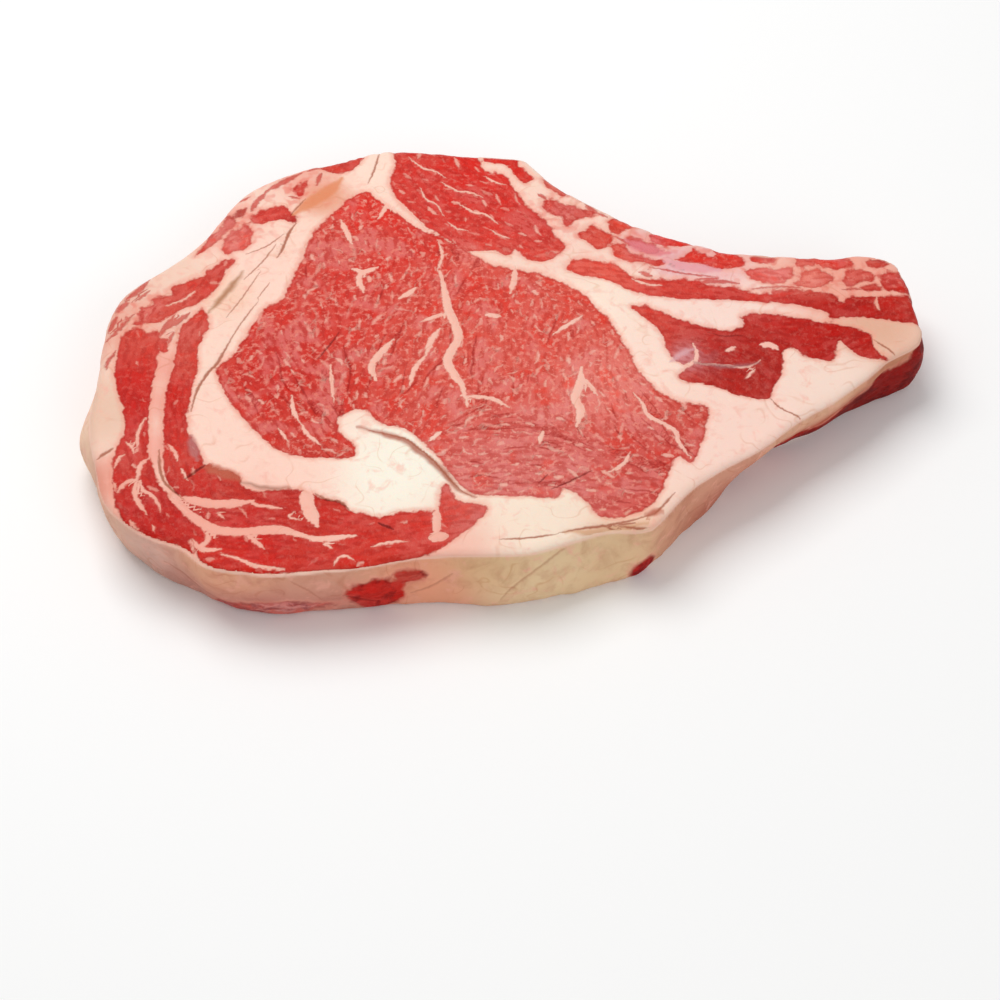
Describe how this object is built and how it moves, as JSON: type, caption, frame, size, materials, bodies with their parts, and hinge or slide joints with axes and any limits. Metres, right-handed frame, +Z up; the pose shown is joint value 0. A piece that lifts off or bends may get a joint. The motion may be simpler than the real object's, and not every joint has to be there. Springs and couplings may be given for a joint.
{
  "type": "rib steak, raw, bone-in cut",
  "caption": "Raw rib steak with a marbled eye, a top muscle, a curved cap, creamy fat seams and a narrow tail, lying flat on its cut face.",
  "frame": {"origin": "the middle of the bounding box's floor, on the flat lower cut face", "axes": "+X along the length, out through the narrow tail; +Y from the fat front edge to the back; +Z up through the thickness"},
  "size_m": [0.238, 0.1642, 0.0225],
  "materials": {
    "raw_meat": "moist cut meat with creamy fat"
  },
  "bodies": {
    "root": {"steak": "raw_meat"}
  },
  "joints": []
}
